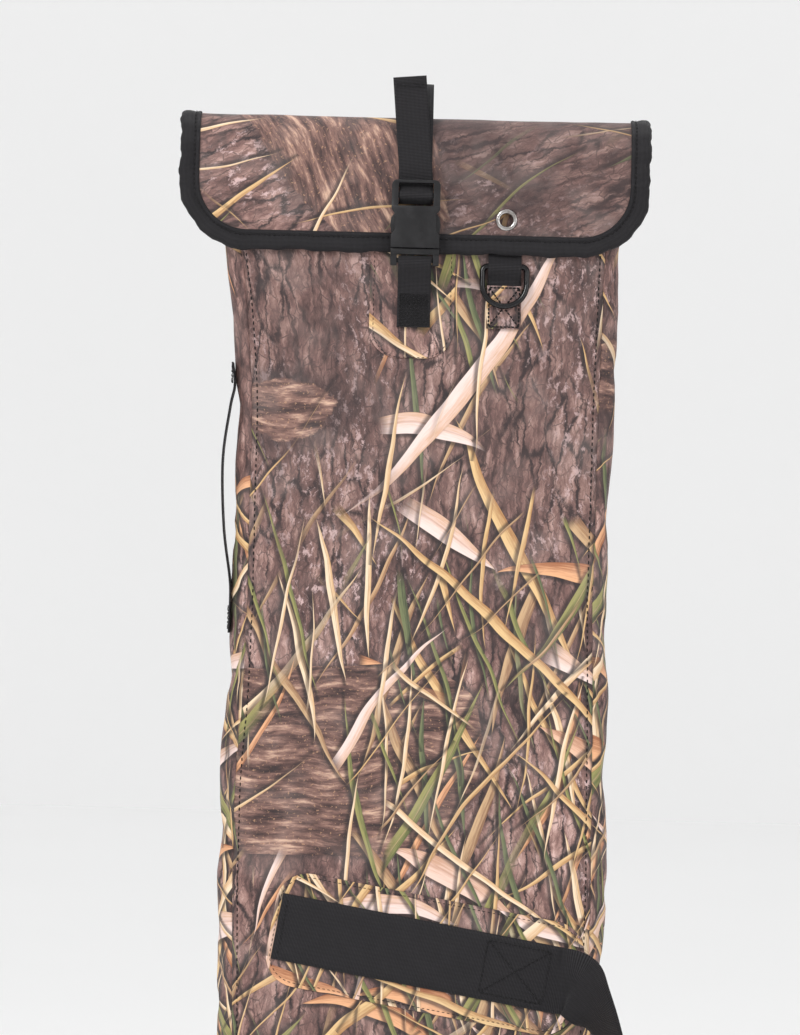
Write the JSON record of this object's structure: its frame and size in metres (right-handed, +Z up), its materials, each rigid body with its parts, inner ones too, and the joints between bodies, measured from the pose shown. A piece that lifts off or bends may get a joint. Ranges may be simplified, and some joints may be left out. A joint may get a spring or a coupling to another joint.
{
  "type": "padded long gun case",
  "caption": "Padded fabric sleeve with a bound fold-over flap, webbing strap with side-release buckle, D-ring, sling and side handle.",
  "frame": {"origin": "the top of the closed flap's fold, at the closure strap's centre line, where a peg under the strap's loose arch would hold the case", "axes": "+Z up along the case towards the flap, +Y from the front panel to the back panel, +X to the right seen from the front"},
  "size_m": [0.4045, 0.1067, 1.3985],
  "materials": {
    "camo_fabric": "coated woven fabric printed with bark and dry reeds, low sheen",
    "foam": "closed-cell foam, matte",
    "lining_fabric": "fine plain-weave nylon, low sheen",
    "binding_tape": "ribbed binding tape, matte",
    "webbing": "flat woven nylon webbing, low sheen",
    "buckle_plastic": "fine moulded texture, satin",
    "black_enamel": "black enamel, semi-gloss",
    "nickel": "polished nickel plate"
  },
  "bodies": {
    "case": {"front_panel": "camo_fabric", "back_panel": "camo_fabric", "left_gusset": "camo_fabric", "right_gusset": "camo_fabric", "front_foam": "foam", "back_foam": "foam", "left_foam": "foam", "right_foam": "foam", "lining": "lining_fabric", "mouth_hem": "binding_tape", "end_binding": "binding_tape", "hinge_band": "camo_fabric", "strap_anchor": "webbing", "lower_buckle_strap": "webbing", "buckle_patch": "camo_fabric", "d_ring_tab": "webbing", "d_ring_patch": "camo_fabric", "sling_patch_upper": "camo_fabric", "sling_anchor_upper": "webbing", "sling_patch_lower": "camo_fabric", "sling_anchor_lower": "webbing", "side_handle": "webbing"},
    "flap": {"flap_outer": "camo_fabric", "flap_lining": "lining_fabric", "flap_binding": "binding_tape", "grommet_eyelet": "nickel", "grommet_washer": "nickel", "closure_strap": "webbing", "strap_tail": "webbing", "buckle_socket": "buckle_plastic"},
    "plug": {"buckle_plug": "buckle_plastic"},
    "left_prong": {"left_prong": "buckle_plastic"},
    "right_prong": {"right_prong": "buckle_plastic"},
    "d_ring": {"d_ring": "black_enamel"},
    "sling": {"sling_strap": "webbing"}
  },
  "joints": [
    {"name": "flap_fold", "type": "hinge", "parent": "case", "child": "flap", "pos_m": [0, 0.0245, -0.033], "axis": [-1, 0, 0], "range_deg": [0, 180], "deforming": ["lower_buckle_strap"]},
    {"name": "buckle_release", "type": "slide", "parent": "flap", "child": "plug", "axis": [0, 0, -1], "range_m": [0, 0.028], "deforming": ["lower_buckle_strap"]},
    {"name": "left_prong_flex", "type": "hinge", "parent": "plug", "child": "left_prong", "pos_m": [-0.0085, -0.0277, -0.1001], "axis": [0, 1, 0], "range_deg": [0, 8], "stiffness_Nm_per_rad": 0.5},
    {"name": "right_prong_flex", "type": "hinge", "parent": "plug", "child": "right_prong", "pos_m": [0.0125, -0.0277, -0.1001], "axis": [0, -1, 0], "range_deg": [0, 8], "stiffness_Nm_per_rad": 0.5},
    {"name": "d_ring_swing", "type": "hinge", "parent": "case", "child": "d_ring", "pos_m": [0.07, -0.0188, -0.1115], "axis": [-1, 0, 0], "range_deg": [0, 100]},
    {"name": "sling_swing", "type": "hinge", "parent": "case", "child": "sling", "pos_m": [0.1182, -0.0294, -0.8889], "axis": [0, 0, 1], "range_deg": [-100, 0]}
  ]
}
